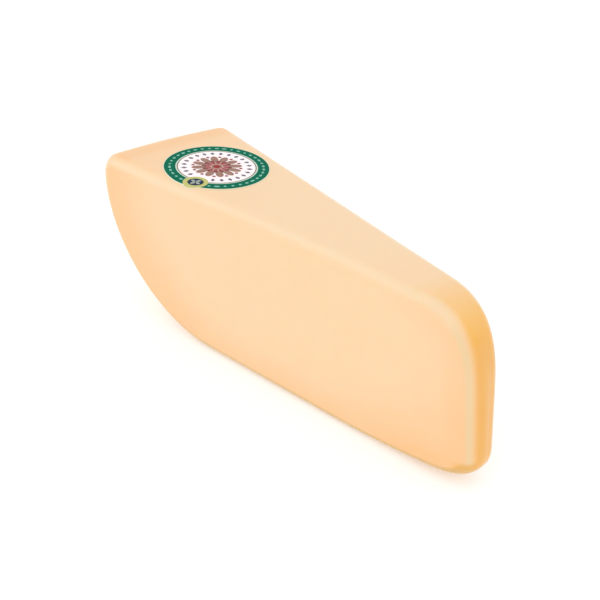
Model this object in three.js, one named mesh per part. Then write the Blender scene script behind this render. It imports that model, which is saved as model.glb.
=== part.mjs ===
// A long blunt wedge of gouda cheese with a round paper label on its top face.
// Millimetres, +Z up. The narrow tip points along +X and the wide rim end along -X.
// The cheese rests on the flat of its belly at z = 0, and the origin is under its middle.

import * as THREE from 'three';

// Driving dimensions of the wedge. A reach is a level distance from the upright
// line where the two cut faces would meet, measured along the wedge's middle.
const HEIGHT = 110;
const WEDGE_ANGLE = THREE.MathUtils.degToRad(15.8);
const TIP_REACH = 79.6;
const RIM_REACH = 376.3;
const TIP_BOW = 1.2; // how far the middle of the tip stands out past its sides
const RIM_BOW = 3.7; // the same at the rim, a part of the wheel's round side

// Side profile, seen square to a cut face
const TIP_ROUND_LENGTH = 50.4; // the top starts to fall this far before the tip
const TIP_FACE_TOP = 62.4; // height where the straight part of the tip's face ends
const TIP_FACE_BOTTOM = 26.6;
const TIP_LEAN = THREE.MathUtils.degToRad(10.7); // the tip's face leans back from upright
const BELLY_START_REACH = 103; // the underside's gentle rise begins behind the tip's lower corner
const BELLY_ANGLE = THREE.MathUtils.degToRad(7.2);
const FLAT_START_REACH = 172; // the flat that the wedge rests on
const FLAT_END_REACH = 276;
const RIM_SWEEP_HEIGHT = 95.2; // the underside sweeps up to this height at the rim
const RIM_ROUND_LENGTH = 12;

// How full each rounded corner of the side profile is at its start and its end:
// 0.55 gives a quarter of an ellipse, and more is squarer.
const TIP_TOP_FULLNESS = [0.97, 0.41];
const TIP_LOW_FULLNESS = [0.82, 0.44];
const RIM_SWEEP_FULLNESS = [0.53, 0.5];
const RIM_TOP_FULLNESS = [0.545, 0.57];

// Rounding between a cut face and the top, the underside, the tip and the rim
const TOP_EDGE_RADIUS = 9.2;
const UNDER_EDGE_RADIUS = 6.7;
const TIP_EDGE_RADIUS = 9.2;
const RIM_EDGE_RADIUS = 9.5;

// Paper label, die-cut as a disc with a small round ear where a seal is printed
const LABEL_RADIUS = 34.4;
const LABEL_REACH = 312.8;
const LABEL_ACROSS = -3.1;
const LABEL_THICKNESS = 0.25;
const LABEL_CLEARANCE = 0.05; // glue line under the paper
const SEAL_RADIUS = 8.2;
const SEAL_OFFSET = 27.9; // from the label's centre to the seal's
const SEAL_BEARING = THREE.MathUtils.degToRad(-66.3); // from +X towards +Y

// How finely curves are split into flats (a straight stretch is one step)
const TIP_TOP_STEPS = 18;
const TIP_LOW_STEPS = 12;
const BELLY_STEPS = 8;
const RIM_SWEEP_STEPS = 22;
const RIM_TOP_STEPS = 12;
const EDGE_STEPS = 6;
const MIDDLE_COLUMNS = [-0.6, 0, 0.6]; // shares of the width between the two rounded edges
const LABEL_ARC_STEPS = 72;

const HALF_SLOPE = Math.tan(WEDGE_ANGLE / 2);
const HALF_COSINE = Math.cos(WEDGE_ANGLE / 2);
const TIP_EDGE = TIP_REACH * HALF_SLOPE;
const RIM_EDGE = RIM_REACH * HALF_SLOPE;
const MIDDLE_REACH = (RIM_REACH + RIM_BOW + TIP_REACH - TIP_BOW) / 2;

// A corner of the side profile, rounded from `start` to `end` about a sharp `corner`.
function roundedCorner(start, corner, end, [startFullness, endFullness]) {
  const startPull = start.clone().lerp(corner, startFullness);
  const endPull = end.clone().lerp(corner, endFullness);
  return new THREE.CubicBezierCurve(start, startPull, endPull, end);
}

// The curves of the side profile in (reach, height), from the rim's top along the
// top to the tip, down the tip, back along the underside and up the rim.
function sideProfile() {
  const point = (reach, height) => new THREE.Vector2(reach, height);
  const leanRatio = Math.tan(TIP_LEAN);
  const tipAt = (height) => point(TIP_REACH + (height - TIP_FACE_BOTTOM) * leanRatio, height);

  const bellyRatio = Math.tan(BELLY_ANGLE);
  const bellyRun = FLAT_START_REACH - BELLY_START_REACH;
  const bellyRise = (bellyRun * bellyRatio) / 2;

  // Height at which the tip's face and the belly's first slope would meet
  const cornerRise = bellyRatio * (BELLY_START_REACH - tipAt(0).x);
  const lowCornerHeight = (bellyRise + cornerRise) / (1 + bellyRatio * leanRatio);

  const rimTop = point(RIM_REACH - RIM_ROUND_LENGTH, HEIGHT);
  const tipTop = point(TIP_REACH + TIP_ROUND_LENGTH, HEIGHT);
  const faceTop = tipAt(TIP_FACE_TOP);
  const faceBottom = tipAt(TIP_FACE_BOTTOM);
  const bellyStart = point(BELLY_START_REACH, bellyRise);
  const bellyPull = point((BELLY_START_REACH + FLAT_START_REACH) / 2, 0);
  const flatStart = point(FLAT_START_REACH, 0);
  const flatEnd = point(FLAT_END_REACH, 0);
  const rimLow = point(RIM_REACH, RIM_SWEEP_HEIGHT);

  const tipTopRound = roundedCorner(tipTop, tipAt(HEIGHT), faceTop, TIP_TOP_FULLNESS);
  const tipLowRound = roundedCorner(faceBottom, tipAt(lowCornerHeight), bellyStart, TIP_LOW_FULLNESS);
  const rimSweep = roundedCorner(flatEnd, point(RIM_REACH, 0), rimLow, RIM_SWEEP_FULLNESS);
  const rimTopRound = roundedCorner(rimLow, point(RIM_REACH, HEIGHT), rimTop, RIM_TOP_FULLNESS);
  return [
    { curve: new THREE.LineCurve(rimTop, tipTop), steps: 1 },
    { curve: tipTopRound, steps: TIP_TOP_STEPS },
    { curve: new THREE.LineCurve(faceTop, faceBottom), steps: 1 },
    { curve: tipLowRound, steps: TIP_LOW_STEPS },
    { curve: new THREE.QuadraticBezierCurve(bellyStart, bellyPull, flatStart), steps: BELLY_STEPS },
    { curve: new THREE.LineCurve(flatStart, flatEnd), steps: 1 },
    { curve: rimSweep, steps: RIM_SWEEP_STEPS },
    { curve: rimTopRound, steps: RIM_TOP_STEPS },
  ];
}

// Radius of the rounding beside a cut face, blended by where the profile faces.
function edgeRadius(normal) {
  const level = normal.x < 0 ? TIP_EDGE_RADIUS : RIM_EDGE_RADIUS;
  const upright = normal.y > 0 ? TOP_EDGE_RADIUS : UNDER_EDGE_RADIUS;
  return level * normal.x ** 2 + upright * normal.y ** 2;
}

// Points round the profile, each with its outward normal and its edge radius.
function profileStations() {
  const stations = [];
  for (const { curve, steps } of sideProfile()) {
    for (let i = 0; i < steps; i += 1) {
      const at = curve.getPoint(i / steps);
      const tangent = curve.getTangent(i / steps);
      const normal = new THREE.Vector2(tangent.y, -tangent.x);
      stations.push({ at, normal, radius: edgeRadius(normal) });
    }
  }
  return stations;
}

// Where a point of the profile at `reach` lands when it is carried `across` from
// the middle. Both ends bow out between the cut faces, which stay flat.
function place(reach, across, height) {
  const edge = reach * HALF_SLOPE;
  const share = (reach - TIP_REACH) / (RIM_REACH - TIP_REACH);
  const bow = THREE.MathUtils.lerp(-TIP_BOW / TIP_EDGE ** 2, RIM_BOW / RIM_EDGE ** 2, share);
  return [MIDDLE_REACH - reach - bow * (edge ** 2 - across ** 2), across, height];
}

// One ring of points on the rounded edge beside a cut face. `turn` is 0 on the
// cut face and a quarter turn where the rounding meets the full profile.
function edgeRing(stations, turn, side) {
  return stations.map(({ at, normal, radius }) => {
    const inset = radius * (1 - Math.sin(turn));
    const depth = radius * (1 - Math.cos(turn));
    const reach = at.x - inset * normal.x;
    const across = side * (reach * HALF_SLOPE - depth / HALF_COSINE);
    return place(reach, across, at.y - inset * normal.y);
  });
}

// One ring of points between the rounded edges, at a share of that width.
function middleRing(stations, share) {
  return stations.map(({ at, radius }) => {
    const across = share * (at.x * HALF_SLOPE - radius / HALF_COSINE);
    return place(at.x, across, at.y);
  });
}

// The closed surface of the wedge: rings from one cut face to the other, joined
// by bands of quads, and each cut face filled with a flat cap.
function wedgeGeometry() {
  const stations = profileStations();
  const turns = Array.from({ length: EDGE_STEPS + 1 }, (_, i) => (i / EDGE_STEPS) * (Math.PI / 2));
  const rings = [
    ...turns.map((turn) => edgeRing(stations, turn, -1)),
    ...MIDDLE_COLUMNS.map((share) => middleRing(stations, share)),
    ...turns.toReversed().map((turn) => edgeRing(stations, turn, 1)),
  ];

  const count = stations.length;
  const faces = [];
  for (let row = 0; row < rings.length - 1; row += 1) {
    for (let i = 0; i < count; i += 1) {
      const next = (i + 1) % count;
      const [a, b] = [row * count + i, row * count + next];
      const [c, d] = [a + count, b + count];
      faces.push(a, b, d, a, d, c);
    }
  }

  const capOutline = rings[0].map(([x, , z]) => new THREE.Vector2(x, z));
  const lastRow = (rings.length - 1) * count;
  for (const [a, b, c] of THREE.ShapeUtils.triangulateShape(capOutline, [])) {
    faces.push(a, b, c, lastRow + a, lastRow + c, lastRow + b);
  }

  const geometry = new THREE.BufferGeometry();
  geometry.setAttribute('position', new THREE.Float32BufferAttribute(rings.flat(2), 3));
  geometry.setIndex(faces);
  geometry.computeVertexNormals();
  return geometry;
}

// The label's outline: the arc of the disc, then the arc of the ear round the seal.
function labelGeometry() {
  const sumOfSquares = LABEL_RADIUS ** 2 + SEAL_OFFSET ** 2 - SEAL_RADIUS ** 2;
  const discTurn = Math.acos(sumOfSquares / (2 * LABEL_RADIUS * SEAL_OFFSET));
  const earTurn = Math.asin((LABEL_RADIUS * Math.sin(discTurn)) / SEAL_RADIUS);
  const sealX = SEAL_OFFSET * Math.cos(SEAL_BEARING);
  const sealY = SEAL_OFFSET * Math.sin(SEAL_BEARING);

  const outline = new THREE.Shape();
  const [discStart, discEnd] = [SEAL_BEARING + discTurn, SEAL_BEARING - discTurn];
  const [earStart, earEnd] = [SEAL_BEARING - earTurn, SEAL_BEARING + earTurn];
  outline.absarc(0, 0, LABEL_RADIUS, discStart, discEnd, false);
  outline.absarc(sealX, sealY, SEAL_RADIUS, earStart, earEnd, false);
  return new THREE.ExtrudeGeometry(outline, {
    depth: LABEL_THICKNESS,
    bevelEnabled: false,
    curveSegments: LABEL_ARC_STEPS,
  });
}

const cheesePaste = new THREE.MeshStandardMaterial({ color: 0xfbd9ae, roughness: 0.5, metalness: 0 });
const cheese = new THREE.Mesh(wedgeGeometry(), cheesePaste);
cheese.name = 'cheese';

const printedPaper = new THREE.MeshStandardMaterial({ color: 0x33927f, roughness: 0.55, metalness: 0 });
const label = new THREE.Mesh(labelGeometry(), printedPaper);
label.name = 'label';
label.position.set(MIDDLE_REACH - LABEL_REACH, LABEL_ACROSS, HEIGHT + LABEL_CLEARANCE);

const gouda = new THREE.Group();
gouda.add(cheese, label);

export default gouda;
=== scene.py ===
"""Dresses a packed wedge of gouda: the cheese with its soft rounded edges and warm
mottled colour, and the printed paper label that lies on its top."""

import math

import bpy
from bpy.props import FloatProperty, FloatVectorProperty, IntProperty, PointerProperty
from mathutils import Matrix, Vector


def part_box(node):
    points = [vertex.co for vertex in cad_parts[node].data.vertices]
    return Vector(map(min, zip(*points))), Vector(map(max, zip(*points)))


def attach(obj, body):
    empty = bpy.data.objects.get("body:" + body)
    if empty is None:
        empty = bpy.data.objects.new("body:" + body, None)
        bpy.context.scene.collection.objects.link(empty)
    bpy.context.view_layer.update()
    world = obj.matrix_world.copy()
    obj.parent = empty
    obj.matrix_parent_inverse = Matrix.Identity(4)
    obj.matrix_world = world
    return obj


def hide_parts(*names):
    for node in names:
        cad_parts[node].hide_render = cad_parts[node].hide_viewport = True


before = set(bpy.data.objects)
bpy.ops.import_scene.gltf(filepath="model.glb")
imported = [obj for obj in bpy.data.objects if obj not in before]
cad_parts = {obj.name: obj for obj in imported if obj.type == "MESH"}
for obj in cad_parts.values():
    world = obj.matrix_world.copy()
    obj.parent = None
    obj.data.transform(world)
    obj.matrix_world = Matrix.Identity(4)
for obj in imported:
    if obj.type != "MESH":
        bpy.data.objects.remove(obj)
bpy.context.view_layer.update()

bl_info = {
    "name": "Gouda Wedge",
    "version": (1, 0, 0),
    "blender": (4, 5, 0),
    "location": "3D View > Sidebar > Gouda",
    "description": "Makes a wedge of gouda with its paper label, and a plain studio round it",
    "category": "Object",
}

MM = 0.001
BODY = "root"

_, CHEESE_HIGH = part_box("cheese")
LABEL_LOW, LABEL_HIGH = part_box("label")
LABEL_MIDDLE = (LABEL_LOW + LABEL_HIGH) / 2
LABEL_RADIUS = (LABEL_HIGH.x - LABEL_LOW.x) / 2

# The wedge, as its solid was made. A reach is a level distance from the upright line
# where the two cut faces would meet, measured along the wedge's middle.
TIP_REACH = 79.6 * MM
RIM_REACH = 376.3 * MM
TIP_BOW = 1.2 * MM
RIM_BOW = 3.7 * MM
MIDDLE_REACH = (RIM_REACH + RIM_BOW + TIP_REACH - TIP_BOW) / 2

# Side profile, seen square to a cut face
TIP_ROUND_LENGTH = 50.4 * MM
TIP_FACE_TOP = 62.4 * MM
TIP_FACE_BOTTOM = 26.6 * MM
TIP_LEAN = math.radians(10.7)
BELLY_START_REACH = 103 * MM
BELLY_ANGLE = math.radians(7.2)
FLAT_START_REACH = 172 * MM
FLAT_END_REACH = 276 * MM
RIM_SWEEP_HEIGHT = 95.2 * MM
RIM_ROUND_LENGTH = 12 * MM

# How full each rounded corner of the profile is at its start and its end
TIP_TOP_FULLNESS = (0.97, 0.41)
TIP_LOW_FULLNESS = (0.82, 0.44)
RIM_SWEEP_FULLNESS = (0.53, 0.5)
RIM_TOP_FULLNESS = (0.545, 0.57)

# Shares of the way round the profile at which the cage's four corners sit: the rim's
# top, the tip's top, the tip's foot and the foot of the rim's sweep
CAGE_CORNERS = (-0.013, 0.375, 0.495, 0.805)
EDGE_SHARE = 0.3  # share of the cage's width that each rounded edge takes
LENGTH_STEPS = 200
WIDTH_STEPS = 52
HEIGHT_STEPS = 76
CURVE_DETAIL = 48
WAVE_FREE_HEIGHT = (1 * MM, 16 * MM)  # the soft waves set in between these heights
WAVE_FREE_ROUND_LABEL = 12 * MM

# Where the colours set in: reaches, turns of a rounded edge, heights and depths
TOP_FACING = (0.3, 0.9)  # how far up a surface faces, from not the top to wholly the top
TOP_TURN = (0.3, 1.2)  # the turns of a rounded edge, in radians, over which it sets in
TIP_FACING = (0.3, 0.9)
# The tip's amber is partly its deeper colour and partly painted shade on the faces turned from the
# light
AMBER_REACH = (98 * MM, 138 * MM)
AMBER_TURN = math.radians(35)
AMBER_TURN_WIDTH = math.radians(32)
AMBER_TURN_TOP = math.radians(20)  # how much further round it starts under the top
AMBER_TURN_FOOT = math.radians(50)  # how much sooner it starts at the lower corner
AMBER_CUT_DEPTH = 2.5 * MM
AMBER_EVEN_HEIGHT = (55 * MM, 90 * MM)  # above this the tip is as amber in its middle
AMBER_MIDDLE_FADE = 0.3  # how much less amber its middle is, lower down
# Warmth beside the rind is partly the paste's deeper colour and partly painted shade near the rim
# and along its edges
WARM_TOP_REACH = (290 * MM, 345 * MM)
WARM_TOP = 0.45
WARM_RIM_REACH = (349 * MM, 360 * MM)
WARM_RIM = 0.55  # painted shade: what the rim's rounded edge adds to the top's warmth
WARM_TIP_REACH = (80 * MM, 150 * MM)
WARM_LEFT_TIP = 0.3  # warmth that stays all over the cut faces at the tip
WARM_CUT = 0.7  # warmth of the cut faces beside the rind, partly painted shade
WARM_CUT_RIM = 0.3  # and what is added towards the rim, and towards the tip
WARM_CUT_TIP = 0.1
SHOULDER_REACH = (100 * MM, 160 * MM)
SHOULDER_DEPTH = 14 * MM
SHOULDER_WARMTH = 0.35
RIND_TOP = 97 * MM  # the cut faces are warm beside the rim below this, and underneath
RIND_TIP_REACH = 100 * MM
RIND_TIP_HEIGHT = 14 * MM
DEEPER_RIM_REACH = (250 * MM, 330 * MM)
DEEPER_RIM = 1.2  # how much deeper the warmth reaches there, as a share
DEEPER_TIP_REACH = (90 * MM, 190 * MM)
DEEPER_TIP = 1.7
# Painted highlight: a pale line along each rounded edge, where the soft light glints on it
TOP_HIGHLIGHT_TURN = math.radians(60)  # where on a rounded edge its painted highlight line lies
TIP_HIGHLIGHT_TURN = math.radians(34)
HIGHLIGHT_SINK_TIP = math.radians(17)  # how much lower the top edge's painted highlight lies near the tip
HIGHLIGHT_SINK_TIP_REACH = (115 * MM, 185 * MM)
HIGHLIGHT_TIP_COLOUR = 0.4  # share of the tip's edge highlight colour that the painted highlight has there
HIGHLIGHT_SINK_RIM = math.radians(26)  # how much lower the painted highlight lies near the rim
HIGHLIGHT_SINK_RIM_REACH = (230 * MM, 330 * MM)
HIGHLIGHT_FOOT_FACING = (0.0, 0.4)  # how far down a surface faces while its painted highlight fades
HIGHLIGHT_RIM_FADE = 0.6
TOP_HIGHLIGHT_NARROWNESS = 9.0
TIP_HIGHLIGHT_NARROWNESS = 36.0
CUT_SIDE_NARROWNESS = 14.0  # how much narrower a painted highlight line is on its side of the cut face
# Turns where the painted shade line along the foot starts, is full, begins to fade and ends
FOOT_SHADE_TURN = tuple(math.radians(degrees) for degrees in (0, 24, 55, 90))

# The cheese's patches: their sizes, how much each colour shows, and the roughness
BROAD_PATCH = 38 * MM
SMALL_PATCH = 7 * MM
FINE_PATCH = 1.1 * MM
WARM_PATCHINESS = 0.3
AMBER_PATCHINESS = 0.2
# Strengths of the painted highlight line and of the painted shade line along the foot
HIGHLIGHT_LINE_STRENGTH = 0.85
FOOT_SHADE_STRENGTH = 0.8
BROAD_STRENGTH = 0.10
SMALL_STRENGTH = 0.07
FINE_STRENGTH = 0.05
LEAST_ROUGHNESS = 0.30
BROAD_ROUGHNESS = 0.08
SMALL_ROUGHNESS = 0.06

# Seal printed on the label's ear
SEAL_RADIUS = 8.2 * MM
SEAL_OFFSET = 27.9 * MM
SEAL_BEARING = math.radians(-66.3)
SEAL_WAY = Vector((math.cos(SEAL_BEARING), math.sin(SEAL_BEARING), 0))
SEAL_MIDDLE = LABEL_MIDDLE + SEAL_OFFSET * SEAL_WAY

SEAL_GAP = math.radians(18)  # half of the gap that the marks leave beside the seal

# Paper and ink
PAPER_SINK = 0.02 * MM  # the paper's underside sits this deep in the cheese
INK_THICKNESS = 0.03 * MM
PAPER_TOP = LABEL_HIGH.z - INK_THICKNESS
OUTLINE_STEPS = 240
PAPER_RINGS = 30  # loops of faces from the paper's middle to its edge
PAPER_CREASE = math.radians(40)
PAPER_SHINE = 0.02
PAPER_ROUGHNESS = 0.5
FIBRE_ROUGHNESS = 0.12
FIBRE_STRENGTH = 0.006
INK_ROUGHNESS = 0.45
UNEVEN_ROUGHNESS = 0.1
INK_UNEVENNESS = 0.5
INK_LIGHTER = 0.25  # how far towards white the ink's weakest patches are
BLEED = 0.12 * MM  # how far a printed edge blurs

# Bands printed one over the other: the colour, the disc that they belong to, and the
# inner and outer radius as shares of the disc's. An inner radius under 0 leaves no hole.
LABEL_DISC = (LABEL_MIDDLE, LABEL_RADIUS)
SEAL_DISC = (SEAL_MIDDLE, SEAL_RADIUS)
PRINTED_BANDS = (
    ("field", LABEL_DISC, -1.0, 0.745),
    ("ring", LABEL_DISC, 0.722, 0.752),
    ("line", LABEL_DISC, 0.752, 0.775),
    ("green", LABEL_DISC, 0.77, 0.988),
    ("seal", SEAL_DISC, -1.0, 0.97),
    ("seal_line", SEAL_DISC, -1.0, 0.64),
    ("seal_middle", SEAL_DISC, -1.0, 0.57),
    ("blush", LABEL_DISC, -1.0, 0.26),
    ("petal", LABEL_DISC, -1.0, 0.10),
    ("heart", LABEL_DISC, -1.0, 0.06),
)


def paint(red, green, blue):
    """A colour given in the 0 to 255 numbers of a picture, as Blender's linear colour."""
    def linear(channel):
        share = channel / 255
        return share / 12.92 if share <= 0.04045 else ((share + 0.055) / 1.055) ** 2.4

    return (linear(red), linear(green), linear(blue))


FIBRE_COLOUR = paint(255, 255, 250)


def setting(kind, name, description, default, **limits):
    return kind(name=name, description=description, default=default, **limits)


def size(name, description, default):
    return setting(FloatProperty, name, description, default, unit="LENGTH", precision=4)


def colour(name, description, default):
    return setting(FloatVectorProperty, name, description, default, subtype="COLOR", size=3,
                   min=0, max=1)


# ---------------------------------------------------------------- settings


class GoudaWedgeSizes(bpy.types.PropertyGroup):
    """Sizes of the cheese"""

    height: size("Height", "From the resting face to the top", CHEESE_HIGH.z)
    angle: setting(FloatProperty, "Wedge angle", "Between the two cut faces",
                   math.radians(15.8), subtype="ANGLE")
    top_edge: size("Top edge", "Radius between a cut face and the top", 9.2 * MM)
    under_edge: size("Under edge", "Radius between a cut face and the underside", 6.7 * MM)
    tip_edge: size("Tip edge", "Radius between a cut face and the tip", 9.2 * MM)
    rim_edge: size("Rim edge", "Radius between a cut face and the rim", 9.5 * MM)
    wave_depth: size("Wave depth", "How deep the soft waves of the surface are", 0.3 * MM)
    wave_length: size("Wave length", "How far apart the soft waves of the surface are", 55 * MM)
    warm_depth: size("Warm depth", "How far the warmer colour reaches in from the rind", 28 * MM)
    seed: setting(IntProperty, "Seed", "Picks another set of waves", 3)


class GoudaCheeseColours(bpy.types.PropertyGroup):
    """Colours of the cheese"""

    paste: colour("Paste", "The cut faces", paint(237, 204, 163))
    top: colour("Top", "The flat top", paint(239, 205, 163))
    # Warm: the paste's deeper colour beside the rind, partly painted shade near the rim; it also
    # tints the warm patches
    warm: colour("Warm", "Beside the rind at the rim and underneath", paint(239, 188, 132))
    # Amber: the tip's deeper colour, partly painted shade on the tip's face. Shoulder: painted
    # light, a lighter amber where the tip's shoulder faces up
    amber: colour("Amber", "The narrow face of the tip", paint(233, 170, 68))
    shoulder: colour("Shoulder", "The tip's rounded shoulder", paint(241, 182, 72))
    # Pale and Tip edge: colours of the painted highlight along the rounded edges; Pale also tints
    # the small pale patches
    pale: colour("Pale", "The rounded edges", paint(238, 214, 180))
    tip_edge: colour("Tip edge", "The rounded edges beside the tip", paint(225, 201, 156))
    # Foot: painted shade, the thin dark line where the cheese meets the floor
    foot: colour("Foot", "The thin line along the foot", paint(200, 165, 95))


class GoudaLabelSettings(bpy.types.PropertyGroup):
    """Sizes and colours of the label's print"""

    paper: colour("Paper", "The bare rim of the paper", paint(228, 230, 206))
    green: colour("Green", "The broad band", paint(0, 104, 78))
    line: colour("Line", "The thin pale line inside the band", paint(205, 219, 206))
    ring: colour("Ring", "The thin brown-grey ring", paint(138, 132, 120))
    field: colour("Field", "The white middle", paint(250, 240, 241))
    dash: colour("Dashes", "The pale marks on the band", paint(116, 182, 162))
    pip: colour("Pips", "The small marks round the field", paint(100, 88, 108))
    petal: colour("Petals", "The rosette's outer petals", paint(150, 108, 92))
    heart: colour("Heart", "The rosette's inner petals and beads", paint(150, 52, 58))
    blush: colour("Blush", "The pale disc under the rosette", paint(196, 160, 150))
    seal: colour("Seal", "The yellow disc", paint(194, 190, 122))
    seal_line: colour("Seal line", "The thin line inside the yellow disc", paint(100, 112, 60))
    seal_middle: colour("Seal middle", "The dark disc in the seal", paint(40, 52, 90))
    seal_leaf: colour("Seal leaves", "The pale leaves in the seal", paint(160, 170, 150))
    dashes: setting(IntProperty, "Dashes", "Marks round the band", 38, min=3)
    pips: setting(IntProperty, "Pips", "Marks round the field", 24, min=3)
    petals: setting(IntProperty, "Petals", "Petals of the rosette", 12, min=3)
    seed: setting(IntProperty, "Seed", "Picks other lengths for the dashes", 5)


class GoudaStudioSettings(bpy.types.PropertyGroup):
    """Light and camera"""

    floor: colour("Floor", "The plain floor", (0.8, 0.8, 0.8))
    glow: setting(FloatProperty, "Floor glow", "Strength of the light from the floor", 0.3,
                  min=0)
    sky: setting(FloatProperty, "Sky", "Strength of the even light from all round", 1.0, min=0)
    key: setting(FloatProperty, "Key", "Strength of the large soft light", 0.45, min=0)
    key_spread: setting(FloatProperty, "Key spread", "How wide the soft light looks",
                        math.radians(60), subtype="ANGLE")
    lens: setting(FloatProperty, "Lens", "Focal length on a 36 mm wide sensor", 51, min=10,
                  unit="CAMERA")


# ---------------------------------------------------------------- node helpers


class Field:
    """A number in a node tree. Sums and products of fields become Math nodes."""

    def __init__(self, tree, socket):
        self.tree = tree
        self.socket = socket

    def math(self, operation, *others):
        step = self.tree.nodes.new("ShaderNodeMath")
        step.operation = operation
        for slot, value in zip(step.inputs, (self, *others)):
            plug(self.tree, slot, value)
        return Field(self.tree, step.outputs[0])

    def __add__(self, other):
        return self.math("ADD", other)

    def __sub__(self, other):
        return self.math("SUBTRACT", other)

    def __rsub__(self, other):
        return self.math("MULTIPLY_ADD", -1.0, other)

    def __mul__(self, other):
        return self.math("MULTIPLY", other)

    def __truediv__(self, other):
        return self.math("DIVIDE", other)

    def squared(self):
        return self.math("POWER", 2.0)

    def clamped(self):
        return self.math("MAXIMUM", 0.0).math("MINIMUM", 1.0)

    def over(self, limit):
        """1 where the number is over `limit`, and 0 elsewhere."""
        return self.math("GREATER_THAN", limit)

    def smooth(self, start, end):
        """0 before `start`, 1 after `end`, and a soft step between them."""
        step = make(self.tree, "ShaderNodeMapRange", interpolation_type="SMOOTHSTEP",
                    Value=self, **{"From Min": start, "From Max": end})
        return Field(self.tree, step.outputs["Result"])


def plug(tree, socket, value):
    """Feeds a socket from a field or another socket, or sets its plain value."""
    if isinstance(value, Field):
        value = value.socket
    if isinstance(value, bpy.types.NodeSocket):
        tree.links.new(value, socket)
    elif socket.type == "RGBA":
        socket.default_value = (*value, 1.0)
    else:
        socket.default_value = value


def make(tree, kind, **values):
    """Adds a node. A value whose name is one of its sockets is fed to that socket,
    and any other is a setting of the node."""
    node = tree.nodes.new(kind)
    for name, value in values.items():
        if not name[0].isupper():
            setattr(node, name, value)
    for name, value in values.items():
        if name[0].isupper():
            socket = next(s for s in node.inputs if s.name == name and s.enabled)
            plug(tree, socket, value)
    return node


def split(tree, vector):
    """The X, Y and Z of a vector, as fields."""
    parts = make(tree, "ShaderNodeSeparateXYZ", Vector=vector)
    return [Field(tree, socket) for socket in parts.outputs]


def join(tree, x, y, z):
    return make(tree, "ShaderNodeCombineXYZ", X=x, Y=y, Z=z).outputs[0]


def blend(tree, share, first, second):
    """A colour on the way from `first` to `second`."""
    mix = tree.nodes.new("ShaderNodeMix")
    mix.data_type = "RGBA"
    by_name = {s.identifier: s for s in mix.inputs}
    plug(tree, by_name["Factor_Float"], share)
    plug(tree, by_name["A_Color"], first)
    plug(tree, by_name["B_Color"], second)
    return next(s for s in mix.outputs if s.identifier == "Result_Color")


def new_tree(name, kind, inputs, outputs):
    """An empty node group. Its inputs and outputs are pairs of a name and a type."""
    tree = bpy.data.node_groups.new(name, kind)
    for way, sockets in (("INPUT", inputs), ("OUTPUT", outputs)):
        for label, socket in sockets:
            tree.interface.new_socket(label, in_out=way, socket_type="NodeSocket" + socket)
    entry = tree.nodes.new("NodeGroupInput")
    fields = {label: Field(tree, entry.outputs[label]) for label, _ in inputs}
    return tree, fields, tree.nodes.new("NodeGroupOutput")


def feed(tree, node, **values):
    """Feeds a node's sockets, named with an underscore for each space."""
    for name, value in values.items():
        plug(tree, node.inputs[name.replace("_", " ")], value)


def new_material(name):
    """A material with its Principled shader, and the object's own coordinates."""
    material = bpy.data.materials.new(name)
    material.use_nodes = True
    tree = material.node_tree
    shader = tree.nodes["Principled BSDF"]
    here = tree.nodes.new("ShaderNodeTexCoord").outputs["Object"]
    return material, tree, shader, here


# ---------------------------------------------------------------- shader groups


def mottling_group():
    """Soft cloudy patches, 0 to 1, of one size."""
    tree, given, out = new_tree(
        "Cloudy mottling", "ShaderNodeTree",
        [("Vector", "Vector"), ("Patch Size", "Float"),
         ("Detail", "Float"), ("Contrast", "Float")],
        [("Mask", "Float")])
    cloud = make(tree, "ShaderNodeTexNoise", Vector=given["Vector"], Detail=given["Detail"],
                 Roughness=0.55, Scale=given["Patch Size"].math("POWER", -1.0))
    cloud_value = Field(tree, cloud.outputs[0])
    mask = ((cloud_value - 0.5) * given["Contrast"]).math("ADD", 0.5).clamped()
    plug(tree, out.inputs["Mask"], mask)
    return tree


def grain_group():
    """The fine uneven feel of a surface, as a normal."""
    tree, given, out = new_tree(
        "Surface grain", "ShaderNodeTree",
        [("Vector", "Vector"), ("Grain Size", "Float"),
         ("Depth", "Float")],
        [("Normal", "Vector")])
    grain = make(tree, "ShaderNodeTexNoise", Vector=given["Vector"], Detail=3.0,
                 Roughness=0.6, Scale=given["Grain Size"].math("POWER", -1.0))
    bump = make(tree, "ShaderNodeBump", Height=grain.outputs[0], Distance=given["Depth"],
                Strength=1.0)
    plug(tree, out.inputs["Normal"], bump.outputs[0])
    return tree


def band_group():
    """1 inside a flat ring round a point, and 0 elsewhere."""
    tree, given, out = new_tree(
        "Printed band", "ShaderNodeTree",
        [("Vector", "Vector"), ("Middle", "Vector"),
         ("Inner", "Float"), ("Outer", "Float"),
         ("Bleed", "Float")],
        [("Mask", "Float")])
    x, y, _ = split(tree, given["Vector"])
    middle_x, middle_y, _ = split(tree, given["Middle"])
    away = ((x - middle_x).squared() + (y - middle_y).squared()).math("SQRT")
    inside = ((given["Outer"] - away) / given["Bleed"]).clamped()
    outside = ((away - given["Inner"]) / given["Bleed"]).clamped()
    plug(tree, out.inputs["Mask"], inside * outside)
    return tree


SHADER_GROUPS = {"mottling": mottling_group, "grain": grain_group, "band": band_group}


def shader_group(name):
    """A shader group, built the first time that it is asked for."""
    key = "gouda_group_" + name
    if key not in bpy.context.scene:
        bpy.context.scene[key] = SHADER_GROUPS[name]().name
    return bpy.data.node_groups[bpy.context.scene[key]]


def grouped(tree, name, here, **values):
    """Places a shader group in a material. Gives the one thing that it puts out."""
    node = make(tree, "ShaderNodeGroup", node_tree=shader_group(name))
    feed(tree, node, Vector=here, **values)
    return Field(tree, node.outputs[0])


# ---------------------------------------------------------------- materials


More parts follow.
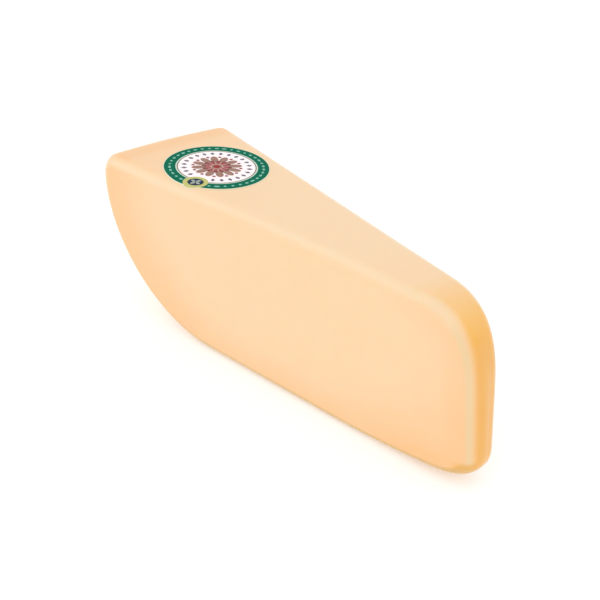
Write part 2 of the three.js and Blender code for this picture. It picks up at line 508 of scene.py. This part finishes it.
def cheese_material(colours):
    """Young cheese: pale paste, warmer beside the rind and amber at the tip, both partly painted
    shade, with a painted highlight along the rounded edges, painted light on the tip's shoulder and
    a painted shade line along the foot.
    """
    material, tree, shader, here = new_material("young cheese")

    def stored(name):
        return Field(tree, make(tree, "ShaderNodeAttribute", attribute_name=name).outputs["Fac"])

    broad = grouped(tree, "mottling", here, Patch_Size=BROAD_PATCH, Detail=2.0, Contrast=1.8)
    small = grouped(tree, "mottling", here, Patch_Size=SMALL_PATCH, Detail=3.0, Contrast=2.2)
    fine = grouped(tree, "mottling", here, Patch_Size=FINE_PATCH, Detail=2.0, Contrast=2.0)

    # Warmth beside the rind, partly painted shade; amber at the tip, partly painted shade, lighter
    # where the shoulder faces up as painted light
    warmth = stored("rind_warmth") * (broad * WARM_PATCHINESS + (1 - WARM_PATCHINESS))
    amber = stored("tip_amber") * (broad * AMBER_PATCHINESS + (1 - AMBER_PATCHINESS))
    tip = blend(tree, stored("top_facing"), colours.amber, colours.shoulder)
    # Colour of the painted highlight line: pale, greyer beside the tip
    edge = blend(tree, stored("edge_towards_tip"), colours.pale, colours.tip_edge)
    tone = blend(tree, stored("top_facing"), colours.paste, colours.top)
    # The layers include the painted highlight line and the painted shade along the foot
    for share, layer in ((warmth, colours.warm),
                         (amber, tip),
                         (stored("edge_line") * HIGHLIGHT_LINE_STRENGTH, edge),
                         (stored("foot_line") * FOOT_SHADE_STRENGTH, colours.foot),
                         (broad * BROAD_STRENGTH, colours.warm),
                         (small * SMALL_STRENGTH, colours.pale),
                         (fine * FINE_STRENGTH, colours.warm)):
        tone = blend(tree, share, tone, layer)

    roughness = broad * BROAD_ROUGHNESS + small * SMALL_ROUGHNESS + LEAST_ROUGHNESS
    grain = grouped(tree, "grain", here, Grain_Size=1.6 * MM, Depth=0.04 * MM)
    feed(tree, shader, Base_Color=tone, Roughness=roughness, Normal=grain, IOR=1.45,
         Subsurface_Weight=0.25, Subsurface_Radius=(1.0, 0.5, 0.25), Subsurface_Scale=5 * MM,
         Sheen_Weight=0.7, Sheen_Roughness=0.3)
    return material


def paper_material(look):
    """Printed paper: rings of colour round a white field, and the seal's disc."""
    material, tree, shader, here = new_material("printed paper")
    tone = look.paper
    for ink, (middle, radius), inner, outer in PRINTED_BANDS:
        band = grouped(tree, "band", here, Middle=middle, Inner=inner * radius,
                       Outer=outer * radius, Bleed=BLEED)
        tone = blend(tree, band, tone, getattr(look, ink))
    fibre = grouped(tree, "mottling", here, Patch_Size=0.9 * MM, Detail=4.0, Contrast=2.0)
    tone = blend(tree, fibre * FIBRE_STRENGTH, tone, FIBRE_COLOUR)
    grain = grouped(tree, "grain", here, Grain_Size=0.5 * MM, Depth=0.01 * MM)
    feed(tree, shader, Base_Color=tone, Roughness=fibre * FIBRE_ROUGHNESS + PAPER_ROUGHNESS,
         Normal=grain, Specular_IOR_Level=PAPER_SHINE)
    return material


def ink_material(name, tone):
    """Ink on paper, a little uneven in strength."""
    material, tree, shader, here = new_material(name)
    uneven = grouped(tree, "mottling", here, Patch_Size=0.7 * MM, Detail=2.0, Contrast=2.5)
    lighter = tuple(channel + (1 - channel) * INK_LIGHTER for channel in tone)
    feed(tree, shader, Base_Color=blend(tree, uneven * INK_UNEVENNESS, tone, lighter),
         Roughness=uneven * UNEVEN_ROUGHNESS + INK_ROUGHNESS, Specular_IOR_Level=PAPER_SHINE)
    return material


def floor_material(tone, glow):
    """Plain matt floor, lit a little from below, with the faintest unevenness."""
    material, tree, shader, here = new_material("studio floor")
    patch = grouped(tree, "mottling", here, Patch_Size=0.4, Detail=2.0, Contrast=1.0)
    darker = tuple(channel * FLOOR_DARKEST for channel in tone)
    feed(tree, shader, Base_Color=blend(tree, patch, tone, darker), Roughness=0.9,
         Specular_IOR_Level=0.1, Emission_Color=(1, 1, 1), Emission_Strength=glow)
    return material


# ---------------------------------------------------------------- the cheese


def side_profile(height):
    """The wedge's side profile as a closed Bezier curve, X for the reach and Z for the
    height, from the rim's top along the top to the tip and back underneath."""
    lean = math.tan(TIP_LEAN)
    rise = math.tan(BELLY_ANGLE)

    def tip_at(level):
        return Vector((TIP_REACH + (level - TIP_FACE_BOTTOM) * lean, 0, level))

    belly_height = (FLAT_START_REACH - BELLY_START_REACH) * rise / 2
    corner_rise = rise * (BELLY_START_REACH - tip_at(0).x)
    low_corner = tip_at((belly_height + corner_rise) / (1 + rise * lean))

    rim_top = Vector((RIM_REACH - RIM_ROUND_LENGTH, 0, height))
    tip_top = Vector((TIP_REACH + TIP_ROUND_LENGTH, 0, height))
    face_top = tip_at(TIP_FACE_TOP)
    face_bottom = tip_at(TIP_FACE_BOTTOM)
    belly_start = Vector((BELLY_START_REACH, 0, belly_height))
    belly_pull = Vector(((BELLY_START_REACH + FLAT_START_REACH) / 2, 0, 0))
    flat_start = Vector((FLAT_START_REACH, 0, 0))
    flat_end = Vector((FLAT_END_REACH, 0, 0))
    rim_low = Vector((RIM_REACH, 0, RIM_SWEEP_HEIGHT))

    def straight(start, end):
        return start, start.lerp(end, 1 / 3), start.lerp(end, 2 / 3)

    def rounded(start, corner, end, fullness):
        return start, start.lerp(corner, fullness[0]), end.lerp(corner, fullness[1])

    parts = [
        straight(rim_top, tip_top),
        rounded(tip_top, tip_at(height), face_top, TIP_TOP_FULLNESS),
        straight(face_top, face_bottom),
        rounded(face_bottom, low_corner, belly_start, TIP_LOW_FULLNESS),
        rounded(belly_start, belly_pull, flat_start, (2 / 3, 2 / 3)),
        straight(flat_start, flat_end),
        rounded(flat_end, Vector((RIM_REACH, 0, 0)), rim_low, RIM_SWEEP_FULLNESS),
        rounded(rim_low, Vector((RIM_REACH, 0, height)), rim_top, RIM_TOP_FULLNESS),
    ]
    curve = bpy.data.curves.new("side_profile", "CURVE")
    curve.dimensions = "3D"
    curve.resolution_u = CURVE_DETAIL
    spline = curve.splines.new("BEZIER")
    spline.bezier_points.add(len(parts) - 1)
    spline.use_cyclic_u = True
    for i, (start, start_pull, end_pull) in enumerate(parts):
        point = spline.bezier_points[i]
        following = spline.bezier_points[(i + 1) % len(parts)]
        point.handle_left_type = point.handle_right_type = "FREE"
        point.co = start
        point.handle_right = start_pull
        following.handle_left = end_pull
    return curve


def wedge_tree():
    """Geometry nodes that wrap a cage round the side profile between two cut faces.

    The cage is a cube with many vertices. Its length and height run round the profile,
    and its width runs across: over one rounded edge, the middle and the other edge."""
    tree, given, out = new_tree(
        "Rounded wedge", "GeometryNodeTree",
        [("Side Profile", "Object"), ("Angle", "Float"),
         ("Top Edge", "Float"), ("Under Edge", "Float"),
         ("Tip Edge", "Float"), ("Rim Edge", "Float"),
         ("Warm Depth", "Float"), ("Wave Depth", "Float"),
         ("Wave Length", "Float"), ("Seed", "Int"),
         ("Length Steps", "Int"), ("Height Steps", "Int"),
         ("Width Steps", "Int"), ("Surface", "Material")],
        [("Geometry", "Geometry")])

    cage = make(tree, "GeometryNodeMeshCube", Size=(2.0, 2.0, 2.0),
                **{"Vertices X": given["Length Steps"], "Vertices Y": given["Width Steps"],
                   "Vertices Z": given["Height Steps"]})
    along, across, up = split(tree, tree.nodes.new("GeometryNodeInputPosition").outputs[0])

    # Which side of the cage a point belongs to, and how far it has gone round it
    ring = along.math("ABSOLUTE").math("MAXIMUM", up.math("ABSOLUTE")).math("MAXIMUM", 1e-6)
    ahead = along / ring
    above = up / ring
    sideways = (ahead.math("ABSOLUTE") - above.math("ABSOLUTE")).over(0.0)
    upper = above.over(0.0)
    towards_tip = ahead.over(0.0)
    rim_top, tip_top, tip_foot, rim_foot = CAGE_CORNERS
    top_share = (ahead + 1) * ((tip_top - rim_top) / 2) + rim_top
    tip_share = (1 - above) * ((tip_foot - tip_top) / 2) + tip_top
    foot_share = (1 - ahead) * ((rim_foot - tip_foot) / 2) + tip_foot
    rim_share = (above + 1) * ((1 + rim_top - rim_foot) / 2) + rim_foot
    level_share = top_share * upper + foot_share * (1 - upper)
    upright_share = tip_share * towards_tip + rim_share * (1 - towards_tip)
    share = (upright_share * sideways + level_share * (1 - sideways)).math("WRAP", 1.0, 0.0)

    profile = make(tree, "GeometryNodeObjectInfo", Object=given["Side Profile"])
    sample = make(tree, "GeometryNodeSampleCurve", mode="FACTOR",
                  Curves=profile.outputs["Geometry"], Factor=share)
    reach, _, height = split(tree, sample.outputs["Position"])
    tangent_reach, _, tangent_height = split(tree, sample.outputs["Tangent"])
    normal_reach = tangent_height
    normal_height = tangent_reach * -1.0

    # Rounded edge: `turn` is 0 on a cut face and a right angle where the profile is full
    to_face = (1 - across.math("ABSOLUTE")) / (2 * EDGE_SHARE)
    turn = to_face.clamped() * (math.pi / 2)
    rim_side = normal_reach.over(0.0)
    top_side = normal_height.over(0.0)
    level_radius = given["Rim Edge"] * rim_side + given["Tip Edge"] * (1 - rim_side)
    upright_radius = given["Top Edge"] * top_side + given["Under Edge"] * (1 - top_side)
    radius = level_radius * normal_reach.squared() + upright_radius * normal_height.squared()
    inset = radius * (1 - turn.math("SINE"))
    depth = radius * (1 - turn.math("COSINE"))

    # Cut faces: rings of the cage shrink towards the middle of the profile
    middle_reach = (TIP_REACH + RIM_REACH) / 2
    middle_height = CHEESE_HIGH.z / 2
    ring_reach = reach - inset * normal_reach
    ring_height = height - inset * normal_height
    out_reach = ring_reach - middle_reach
    out_height = ring_height - middle_height
    final_reach = out_reach * ring + middle_reach
    final_height = out_height * ring + middle_height

    # Across the wedge, and the bow of both ends
    half = given["Angle"] * 0.5
    half_slope = half.math("TANGENT")
    edge = final_reach * half_slope
    to_middle = (across / (1 - 2 * EDGE_SHARE)).math("MAXIMUM", -1.0).math("MINIMUM", 1.0)
    final_across = to_middle * (edge - depth / half.math("COSINE"))
    tip_bow = TIP_BOW / TIP_REACH ** 2
    rim_bow = RIM_BOW / RIM_REACH ** 2
    bow_share = (final_reach - TIP_REACH) / (RIM_REACH - TIP_REACH)
    bow = (bow_share * (rim_bow + tip_bow) - tip_bow) / half_slope.squared()
    final_along = MIDDLE_REACH - final_reach - bow * (edge.squared() - final_across.squared())

    # Depth below the rind of the rim and of the underside, seen square to a cut face
    line_reach, _, line_height = split(tree, tree.nodes.new("GeometryNodeInputPosition").outputs[0])
    on_tip_face = (RIND_TIP_REACH - line_reach).over(0.0) \
        * (line_height - RIND_TIP_HEIGHT).over(0.0)
    not_rind = on_tip_face.math("MAXIMUM", line_height.over(RIND_TOP))
    profile_line = make(tree, "GeometryNodeCurveToMesh", Curve=profile.outputs["Geometry"])
    rind_line = make(tree, "GeometryNodeDeleteGeometry", domain="POINT",
                     Geometry=profile_line.outputs[0], Selection=not_rind)
    nearest = make(tree, "GeometryNodeProximity", target_element="EDGES",
                   Geometry=rind_line.outputs[0],
                   **{"Sample Position": join(tree, final_reach, 0.0, final_height)})
    rimward = final_reach.smooth(*DEEPER_RIM_REACH)
    tipward = 1 - final_reach.smooth(*DEEPER_TIP_REACH)
    deeper = rimward * DEEPER_RIM + tipward * DEEPER_TIP + 1
    below_rind = Field(tree, nearest.outputs["Distance"]) / (given["Warm Depth"] * deeper)

    # Where each colour belongs, painted highlight and shade among them
    to_rim = normal_reach.math("MAXIMUM", 0.0)
    to_tip = (normal_reach * -1.0).math("MAXIMUM", 0.0)
    to_foot = (normal_height * -1.0).math("MAXIMUM", 0.0)
    inwards = (out_reach * normal_reach + out_height * normal_height) * (1 - ring)
    # The tip's amber: partly its deeper colour, partly painted shade on the faces turned from the
    # light
    amber_start, amber_end = AMBER_REACH
    tip_middle = (1 - to_middle.squared()) * (1 - final_height.smooth(*AMBER_EVEN_HEIGHT))
    amber = (1 - ((final_reach - amber_start) / (amber_end - amber_start)).clamped()) \
        * (1 - tip_middle * AMBER_MIDDLE_FADE)
    on_top = normal_height.smooth(*TOP_FACING) * turn.smooth(*TOP_TURN)
    low_corner = to_foot * to_tip * 2
    amber_turn = normal_height.math("MAXIMUM", 0.0).squared() * AMBER_TURN_TOP \
        - low_corner * AMBER_TURN_FOOT + AMBER_TURN
    off_cut = (turn - amber_turn).smooth(0.0, AMBER_TURN_WIDTH) \
        * (1 - inwards.smooth(0.0, AMBER_CUT_DEPTH))
    # Warmth beside the rind: the paste's deeper colour there, partly painted shade at the rim's
    # edges and on the top near the rim
    cooling = final_reach.smooth(*WARM_TIP_REACH) * WARM_LEFT_TIP + (1 - WARM_LEFT_TIP)
    cut_warmth = 1 - below_rind.smooth(0.0, 1.0) * cooling
    strength = rimward * WARM_CUT_RIM + tipward * WARM_CUT_TIP + WARM_CUT
    shoulder = (1 - inwards.smooth(0.0, SHOULDER_DEPTH)) \
        * (1 - final_reach.smooth(*SHOULDER_REACH))
    warmth_and_shade = (cut_warmth * strength + shoulder * SHOULDER_WARMTH) * (1 - on_top) \
        + on_top * final_reach.smooth(*WARM_TOP_REACH) * WARM_TOP \
        + on_top * final_reach.smooth(*WARM_RIM_REACH) * WARM_RIM
    # Painted highlight: a pale line along each rounded edge where the soft light glints, greyer
    # beside the tip
    turned_to_tip = to_tip.smooth(*TIP_FACING)
    near_tip = 1 - final_reach.smooth(*HIGHLIGHT_SINK_TIP_REACH)
    top_highlight_turn = TOP_HIGHLIGHT_TURN - near_tip * HIGHLIGHT_SINK_TIP \
        - final_reach.smooth(*HIGHLIGHT_SINK_RIM_REACH) * HIGHLIGHT_SINK_RIM
    highlight_turn = turned_to_tip * TIP_HIGHLIGHT_TURN + (1 - turned_to_tip) * top_highlight_turn
    cut_side = (highlight_turn - turn).over(0.0)
    narrowness = turned_to_tip * (TIP_HIGHLIGHT_NARROWNESS - TOP_HIGHLIGHT_NARROWNESS) \
        + cut_side * CUT_SIDE_NARROWNESS + TOP_HIGHLIGHT_NARROWNESS
    line = (turn - highlight_turn).math("COSINE").math("MAXIMUM", 0.0).math("POWER", narrowness)
    # Painted shade: a thin dark line along the foot, where the cheese meets the floor
    foot_in, foot_full, foot_fade, foot_out = FOOT_SHADE_TURN
    foot_line = turn.smooth(foot_in, foot_full) \
        * (1 - turn.smooth(foot_fade, foot_out) * (1 - low_corner))
    colour_shares = {
        "tip_amber": amber * off_cut,
        "top_facing": on_top,
        "edge_line": line * (1 - to_foot.smooth(*HIGHLIGHT_FOOT_FACING)) * (1 - to_rim * HIGHLIGHT_RIM_FADE),
        "edge_towards_tip": turned_to_tip.math("MAXIMUM", near_tip * HIGHLIGHT_TIP_COLOUR),
        "foot_line": foot_line * to_foot * (1 - inwards.smooth(0.0, AMBER_CUT_DEPTH)),
        "rind_warmth": warmth_and_shade.clamped(),
    }
    geometry = cage.outputs["Mesh"]
    for name, value in colour_shares.items():
        kept = make(tree, "GeometryNodeStoreNamedAttribute", data_type="FLOAT", domain="POINT",
                    Geometry=geometry, Name=name, Value=value)
        geometry = kept.outputs["Geometry"]
    wrapped = make(tree, "GeometryNodeSetPosition", Geometry=geometry,
                   Position=join(tree, final_along, final_across, final_height))

    # Soft waves press the surface in, except where it rests and under the label
    place = tree.nodes.new("GeometryNodeInputPosition").outputs[0]
    outward = tree.nodes.new("GeometryNodeInputNormal").outputs[0]
    x, y, z = split(tree, place)
    from_label = ((x - LABEL_MIDDLE.x).squared() + (y - LABEL_MIDDLE.y).squared()).math("SQRT")
    on_label = (1 - from_label.smooth(LABEL_RADIUS, LABEL_RADIUS + WAVE_FREE_ROUND_LABEL)) \
        * z.smooth(middle_height, CHEESE_HIGH.z)
    free = z.smooth(*WAVE_FREE_HEIGHT) * (1 - on_label)
    cloud = make(tree, "ShaderNodeTexNoise", noise_dimensions="4D", Vector=place, Detail=1.5,
                 Roughness=0.4, W=given["Seed"], Scale=given["Wave Length"].math("POWER", -1.0))
    press = Field(tree, cloud.outputs[0]) * given["Wave Depth"] * free * -1.0
    shift = make(tree, "ShaderNodeVectorMath", operation="SCALE", Vector=outward, Scale=press)
    waved = make(tree, "GeometryNodeSetPosition", Geometry=wrapped.outputs[0],
                 Offset=shift.outputs[0])

    smooth = make(tree, "GeometryNodeSetShadeSmooth", Geometry=waved.outputs[0])
    real = make(tree, "GeometryNodeRealizeInstances", Geometry=smooth.outputs[0])
    dressed = make(tree, "GeometryNodeSetMaterial", Geometry=real.outputs[0],
                   Material=given["Surface"])
    plug(tree, out.inputs["Geometry"], dressed.outputs[0])
    return tree


def add_object(name, data):
    added = bpy.data.objects.new(name, data)
    bpy.context.scene.collection.objects.link(added)
    return added


def grow(name, tree, values):
    """Runs a geometry node tree and keeps its result as a plain mesh object."""
    holder = add_object(name, bpy.data.meshes.new(name + "_start"))
    nodes = holder.modifiers.new("Nodes", "NODES")
    nodes.node_group = tree
    sockets = {item.name: item.identifier for item in tree.interface.items_tree
               if item.item_type == "SOCKET" and item.in_out == "INPUT"}
    for label, value in values.items():
        nodes[sockets[label]] = value
    bpy.context.view_layer.update()
    evaluated = holder.evaluated_get(bpy.context.evaluated_depsgraph_get())
    mesh = bpy.data.meshes.new_from_object(evaluated)
    if not mesh.polygons:
        raise RuntimeError(f"{name}: the node tree {tree.name} made no faces")
    holder.modifiers.clear()
    holder.data = mesh
    mesh.name = name
    return holder


def keep(piece, slot, *nodes):
    """Fixes a finished piece to the cheese's body and hides the model's parts that it stands for.
    """
    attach(piece, BODY)
    if nodes:
        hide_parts(*nodes)


class GOUDA_OT_cheese(bpy.types.Operator):
    """Makes the wedge of cheese"""

    bl_idname = "gouda.cheese"
    bl_label = "Cheese"

    def execute(self, context):
        sizes = context.scene.gouda_wedge
        profile = add_object("side_profile", side_profile(sizes.height))
        cheese = grow("cheese_wedge", wedge_tree(), {
            "Side Profile": profile,
            "Angle": sizes.angle,
            "Top Edge": sizes.top_edge,
            "Under Edge": sizes.under_edge,
            "Tip Edge": sizes.tip_edge,
            "Rim Edge": sizes.rim_edge,
            "Warm Depth": sizes.warm_depth,
            "Wave Depth": sizes.wave_depth,
            "Wave Length": sizes.wave_length,
            "Seed": sizes.seed,
            "Length Steps": LENGTH_STEPS,
            "Height Steps": HEIGHT_STEPS,
            "Width Steps": WIDTH_STEPS,
            "Surface": cheese_material(context.scene.gouda_cheese_colours),
        })
        bpy.data.objects.remove(profile)
        keep(cheese, "cheese", "cheese")
        return {"FINISHED"}


# ---------------------------------------------------------------- the label


def label_outline():
    """Points round the label: the disc's arc, then the arc of the ear round the seal."""
    squares = LABEL_RADIUS ** 2 + SEAL_OFFSET ** 2 - SEAL_RADIUS ** 2
    disc_turn = math.acos(squares / (2 * LABEL_RADIUS * SEAL_OFFSET))
    ear_turn = math.asin(LABEL_RADIUS * math.sin(disc_turn) / SEAL_RADIUS)

    def arc(middle, radius, start, sweep, steps):
        turns = [start + sweep * i / steps for i in range(steps)]
        return [(middle.x + radius * math.cos(turn), middle.y + radius * math.sin(turn))
                for turn in turns]

    disc = arc(*LABEL_DISC, SEAL_BEARING + disc_turn, 2 * math.pi - 2 * disc_turn, OUTLINE_STEPS)
    return disc + arc(*SEAL_DISC, SEAL_BEARING - ear_turn, 2 * ear_turn, OUTLINE_STEPS // 10)


def edge_drop(x, y, sizes):
    """How far the rounded edge beside a cut face has fallen below the flat top."""
    half = sizes.angle / 2
    from_cut_face = (MIDDLE_REACH - x) * math.sin(half) - abs(y) * math.cos(half)
    past_flat = max(0.0, sizes.top_edge - from_cut_face)
    return sizes.top_edge - math.sqrt(sizes.top_edge ** 2 - past_flat ** 2)


def paper_sheet(outline, level, sizes):
    """Vertices of one side of the paper, which bends down over the rounded edge: the
    middle, then loops of the outline from the smallest out to the full size."""
    middle = LABEL_MIDDLE.xy
    places = [middle]
    for loop in range(1, PAPER_RINGS + 1):
        places += [middle.lerp(Vector(corner), loop / PAPER_RINGS) for corner in outline]
    return [(x, y, level - edge_drop(x, y, sizes)) for x, y in places]


class GOUDA_OT_label_paper(bpy.types.Operator):
    """Makes the label's paper, with its rings and the seal's disc printed on it"""

    bl_idname = "gouda.label_paper"
    bl_label = "Label paper"

    def execute(self, context):
        sizes = context.scene.gouda_wedge
        outline = label_outline()
        count = len(outline)
        under = paper_sheet(outline, CHEESE_HIGH.z - PAPER_SINK, sizes)
        over = paper_sheet(outline, PAPER_TOP, sizes)

        def on_loop(loop, i):
            return 1 + (loop - 1) * count + i % count

        faces = [(0, on_loop(1, i), on_loop(1, i + 1)) for i in range(count)]
        for loop in range(1, PAPER_RINGS):
            faces += [(on_loop(loop, i), on_loop(loop + 1, i), on_loop(loop + 1, i + 1),
                       on_loop(loop, i + 1)) for i in range(count)]
        upper = [tuple(corner + len(under) for corner in face) for face in faces]
        lower = [tuple(reversed(face)) for face in faces]
        rim = [on_loop(PAPER_RINGS, i) for i in range(count + 1)]
        walls = [(rim[i], rim[i + 1], rim[i + 1] + len(under), rim[i] + len(under))
                 for i in range(count)]
        mesh = bpy.data.meshes.new("label_paper")
        mesh.from_pydata(under + over, [], upper + lower + walls)
        mesh.shade_smooth()
        mesh.set_sharp_from_angle(angle=PAPER_CREASE)
        mesh.materials.append(paper_material(context.scene.gouda_label))
        keep(add_object("label_paper", mesh), "label", "label")
        return {"FINISHED"}


def marks_tree():
    """Geometry nodes that print small flat marks evenly round a ring."""
    tree, given, out = new_tree(
        "Marks round a ring", "GeometryNodeTree",
        [("Count", "Int"), ("Ring Radius", "Float"),
         ("Mark Length", "Float"), ("Mark Width", "Float"),
         ("Mark Sides", "Int"), ("Thickness", "Float"),
         ("First Bearing", "Float"), ("Uneven Length", "Float"),
         ("Gap Bearing", "Float"), ("Gap Width", "Float"),
         ("Seed", "Int"), ("Middle", "Vector"),
         ("Ink", "Material")],
        [("Geometry", "Geometry")])
    circle = make(tree, "GeometryNodeMeshCircle", Vertices=given["Count"],
                  Radius=given["Ring Radius"])
    turned = make(tree, "GeometryNodeTransform", Geometry=circle.outputs[0],
                  Rotation=join(tree, 0.0, 0.0, given["First Bearing"]))
    place = tree.nodes.new("GeometryNodeInputPosition").outputs[0]
    x, y, _ = split(tree, place)
    gap_x = given["Gap Bearing"].math("COSINE")
    gap_y = given["Gap Bearing"].math("SINE")
    towards_gap = (x * gap_x + y * gap_y) / given["Ring Radius"]
    in_gap = towards_gap.over(given["Gap Width"].math("COSINE"))
    open_ring = make(tree, "GeometryNodeDeleteGeometry", domain="POINT",
                     Geometry=turned.outputs[0], Selection=in_gap)
    mark = make(tree, "GeometryNodeMeshCylinder", Vertices=given["Mark Sides"], Radius=0.5,
                Depth=1.0)
    draw = make(tree, "FunctionNodeRandomValue", data_type="FLOAT", Seed=given["Seed"],
                Min=1 - given["Uneven Length"], Max=given["Uneven Length"] + 1)
    stretch = Field(tree, next(s for s in draw.outputs if s.enabled))
    facing = make(tree, "FunctionNodeAlignRotationToVector", axis="X", Vector=place)
    placed = make(tree, "GeometryNodeInstanceOnPoints", Points=open_ring.outputs[0],
                  Instance=mark.outputs["Mesh"], Rotation=facing.outputs[0],
                  Scale=join(tree, given["Mark Width"], given["Mark Length"] * stretch,
                             given["Thickness"]))
    real = make(tree, "GeometryNodeRealizeInstances", Geometry=placed.outputs[0])
    moved = make(tree, "GeometryNodeTransform", Geometry=real.outputs[0],
                 Translation=given["Middle"])
    inked = make(tree, "GeometryNodeSetMaterial", Geometry=moved.outputs[0],
                 Material=given["Ink"])
    plug(tree, out.inputs["Geometry"], inked.outputs[0])
    return tree


class GOUDA_OT_label_print(bpy.types.Operator):
    """Prints the dashes, the pips and the rosette on the label"""

    bl_idname = "gouda.label_print"
    bl_label = "Label print"

    def execute(self, context):
        look = context.scene.gouda_label
        tree = marks_tree()
        on_paper = Vector((LABEL_MIDDLE.x, LABEL_MIDDLE.y, PAPER_TOP))
        seal_gap = {"Gap Bearing": SEAL_BEARING, "Gap Width": SEAL_GAP}
        no_gap = {"Gap Bearing": 0.0, "Gap Width": 0.0}

        def ring(name, ink, count, radius, length, width, sides, gap, **more):
            piece = grow(name, tree, {
                "Count": count,
                "Ring Radius": radius * LABEL_RADIUS,
                "Mark Length": length * LABEL_RADIUS,
                "Mark Width": width * LABEL_RADIUS,
                "Mark Sides": sides,
                "Thickness": 2 * INK_THICKNESS,
                "First Bearing": more.get("bearing", 0.0),
                "Uneven Length": more.get("uneven", 0.0),
                "Seed": look.seed,
                "Middle": more.get("middle", on_paper),
                "Ink": ink_material(name + " ink", ink),
                **gap,
            })
            keep(piece, "label")

        ring("band_dashes", look.dash, look.dashes, radius=0.88, length=0.085, width=0.055,
             sides=6, gap=seal_gap, uneven=0.45)
        ring("field_pips", look.pip, look.pips, radius=0.615, length=0.085, width=0.125,
             sides=4, gap=seal_gap)
        step = math.pi / look.petals
        ring("rosette_petals", look.petal, look.petals, radius=0.345, length=0.15, width=0.27,
             sides=20, gap=no_gap)
        ring("rosette_heart", look.heart, look.petals, radius=0.2, length=0.08, width=0.17,
             sides=16, gap=no_gap, bearing=step)
        ring("rosette_beads", look.heart, look.petals, radius=0.45, length=0.07, width=0.07,
             sides=10, gap=no_gap, bearing=step)
        ring("seal_leaves", look.seal_leaf, 4, radius=0.065, length=0.06, width=0.1,
             sides=12, gap=no_gap, middle=Vector((SEAL_MIDDLE.x, SEAL_MIDDLE.y, PAPER_TOP)))
        return {"FINISHED"}


# ---------------------------------------------------------------- the studio

CAMERA_AZIMUTH = math.radians(43.15)
CAMERA_ELEVATION = math.radians(32.36)
CAMERA_ROLL = math.radians(5.26)
CAMERA_DISTANCE = 522.9 * MM
CAMERA_AIM = Vector((19.2 * MM, 0, 55 * MM))
CAMERA_SHIFT = (-0.0395, 0.0087)
KEY_PLACE = Vector((-0.3, -1.0, 1.2))
FLOOR_HALF = 6.0
FLOOR_DARKEST = 0.985  # share of the floor's colour that its darkest patches keep


def look_from(place, target, roll=0.0):
    """A turn that points an object's -Z at `target`, tilted by `roll` about the view."""
    back = (place - target).normalized()
    right = Vector((0, 0, 1)).cross(back).normalized()
    up = back.cross(right)
    tilted_right = right * math.cos(roll) + up * math.sin(roll)
    tilted_up = up * math.cos(roll) - right * math.sin(roll)
    turn = Matrix((tilted_right, tilted_up, back)).transposed()
    return Matrix.Translation(place) @ turn.to_4x4()


class GOUDA_OT_stage(bpy.types.Operator):
    """Sets the floor, the even light, the soft key light and the camera"""

    bl_idname = "gouda.stage"
    bl_label = "Studio"

    def execute(self, context):
        studio = context.scene.gouda_studio
        scene = context.scene

        half = FLOOR_HALF
        mesh = bpy.data.meshes.new("floor")
        corners = [(-half, -half, 0), (half, -half, 0), (half, half, 0), (-half, half, 0)]
        mesh.from_pydata(corners, [], [(0, 1, 2, 3)])
        mesh.materials.append(floor_material(studio.floor, studio.glow))
        floor = add_object("floor", mesh)

        world = bpy.data.worlds.new("studio sky")
        world.use_nodes = True
        feed(world.node_tree, world.node_tree.nodes["Background"], Strength=studio.sky,
             Color=(1, 1, 1))
        scene.world = world

        light = bpy.data.lights.new("key_light", "SUN")
        light.angle = studio.key_spread
        light.energy = studio.key
        key = add_object("key_light", light)
        key.matrix_world = look_from(KEY_PLACE, CAMERA_AIM)

        level = math.cos(CAMERA_ELEVATION)
        away = Vector((math.sin(CAMERA_AZIMUTH) * level, -math.cos(CAMERA_AZIMUTH) * level,
                       math.sin(CAMERA_ELEVATION)))
        lens = bpy.data.cameras.new("camera")
        lens.lens = studio.lens
        lens.sensor_width = 36
        lens.shift_x, lens.shift_y = CAMERA_SHIFT
        lens.clip_start = 10 * MM
        camera = add_object("camera", lens)
        camera.matrix_world = look_from(CAMERA_AIM + away * CAMERA_DISTANCE, CAMERA_AIM,
                                        CAMERA_ROLL)
        scene.camera = camera
        scene.view_settings.view_transform = "Standard"
        scene.view_settings.look = "None"
        return {"FINISHED"}


# ---------------------------------------------------------------- add-on


class GOUDA_PT_panel(bpy.types.Panel):
    """Lists the pieces of the gouda and their settings"""

    bl_label = "Gouda"
    bl_idname = "GOUDA_PT_panel"
    bl_space_type = "VIEW_3D"
    bl_region_type = "UI"
    bl_category = "Gouda"

    def draw(self, context):
        for operator, settings in STEPS:
            section = self.layout.box()
            section.operator(operator)
            for name in settings:
                group = getattr(context.scene, name)
                for setting in group.__annotations__:
                    section.prop(group, setting)


SETTINGS = {
    "gouda_wedge": GoudaWedgeSizes,
    "gouda_cheese_colours": GoudaCheeseColours,
    "gouda_label": GoudaLabelSettings,
    "gouda_studio": GoudaStudioSettings,
}
OPERATORS = (GOUDA_OT_stage, GOUDA_OT_cheese, GOUDA_OT_label_paper, GOUDA_OT_label_print)
STEPS = (
    (GOUDA_OT_stage.bl_idname, ("gouda_studio",)),
    (GOUDA_OT_cheese.bl_idname, ("gouda_wedge", "gouda_cheese_colours")),
    (GOUDA_OT_label_paper.bl_idname, ("gouda_label",)),
    (GOUDA_OT_label_print.bl_idname, ()),
)


def register():
    for settings in SETTINGS.values():
        bpy.utils.register_class(settings)
    for name, settings in SETTINGS.items():
        setattr(bpy.types.Scene, name, PointerProperty(type=settings))
    for operator in OPERATORS:
        bpy.utils.register_class(operator)
    bpy.utils.register_class(GOUDA_PT_panel)


def unregister():
    bpy.utils.unregister_class(GOUDA_PT_panel)
    for operator in reversed(OPERATORS):
        bpy.utils.unregister_class(operator)
    for name in SETTINGS:
        delattr(bpy.types.Scene, name)
    for settings in reversed(SETTINGS.values()):
        bpy.utils.unregister_class(settings)


def main():
    register()
    bpy.ops.gouda.stage()
    bpy.ops.gouda.cheese()
    bpy.ops.gouda.label_paper()
    bpy.ops.gouda.label_print()


if __name__ == "__main__":
    main()
